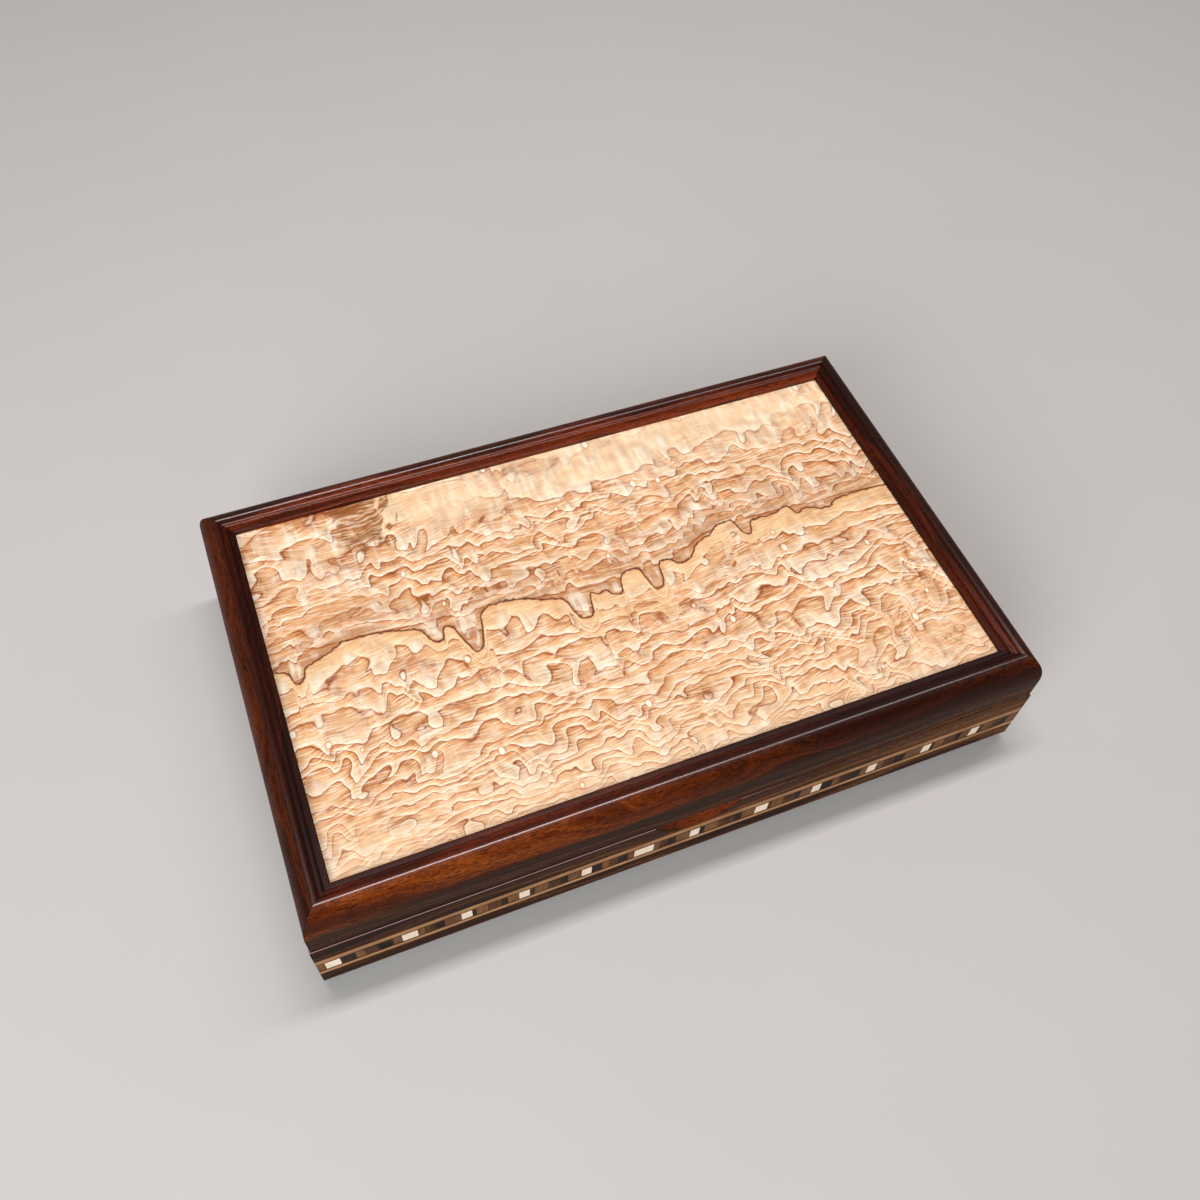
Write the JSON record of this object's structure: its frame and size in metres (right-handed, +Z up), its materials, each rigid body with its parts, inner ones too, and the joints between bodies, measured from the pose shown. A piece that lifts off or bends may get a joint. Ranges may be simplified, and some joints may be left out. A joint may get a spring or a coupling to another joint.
{
  "type": "valet box",
  "caption": "Low wooden valet box: mitred walls with an inlaid mosaic band, hinged moulded lid framing a figured panel, finger scoop, sliding tray inside.",
  "frame": {"origin": "middle of the felt face that the box stands on", "axes": "+X to the box's right seen from the front, +Y to the back where the hinges are, +Z up through the lid"},
  "size_m": [0.4064, 0.2597, 0.0825],
  "materials": {
    "rosewood": "gloss",
    "figured_ash": "gloss",
    "light_wood": "gloss",
    "dark_wood": "gloss",
    "white_wood": "gloss",
    "ebony": "gloss",
    "walnut": "gloss",
    "rosy_wood": "gloss",
    "box_board": "satin",
    "suede": "matte",
    "felt": "matte",
    "brass": "satin"
  },
  "bodies": {
    "box": {"front_wall": "rosewood", "right_wall": "rosewood", "back_wall": "rosewood", "left_wall": "rosewood", "lower_light_strips": "light_wood", "lower_dark_lines": "dark_wood", "upper_dark_lines": "dark_wood", "upper_light_strips": "light_wood", "white_tiles": "white_wood", "black_tiles": "ebony", "brown_tiles": "walnut", "tan_tiles": "light_wood", "rosy_tiles": "rosy_wood", "base_felt": "felt", "bottom_board": "box_board", "floor_liner": "suede", "front_tray_runner": "rosewood", "back_tray_runner": "rosewood", "middle_divider": "rosewood", "right_dividers": "rosewood", "left_hinge_box_leaf": "brass", "right_hinge_box_leaf": "brass", "left_hinge_pin": "brass", "right_hinge_pin": "brass", "box_leaf_screws": "brass"},
    "lid": {"lid_front_rail": "rosewood", "lid_right_rail": "rosewood", "lid_back_rail": "rosewood", "lid_left_rail": "rosewood", "lid_panel": "figured_ash", "lid_liner": "suede", "left_hinge_lid_leaf": "brass", "right_hinge_lid_leaf": "brass", "lid_leaf_screws": "brass"},
    "tray": {"tray_front": "rosewood", "tray_right_end": "rosewood", "tray_back": "rosewood", "tray_left_end": "rosewood", "tray_bottom": "box_board", "tray_liner": "suede", "tray_long_divider": "rosewood", "tray_cross_dividers": "rosewood"}
  },
  "joints": [
    {"name": "lid_hinge", "type": "hinge", "parent": "box", "child": "lid", "pos_m": [0, 0.13, 0.0498], "axis": [-1, 0, 0], "range_deg": [0, 95]},
    {"name": "tray_slide", "type": "slide", "parent": "box", "child": "tray", "axis": [1, 0, 0], "range_m": [0, 0.1914]}
  ]
}
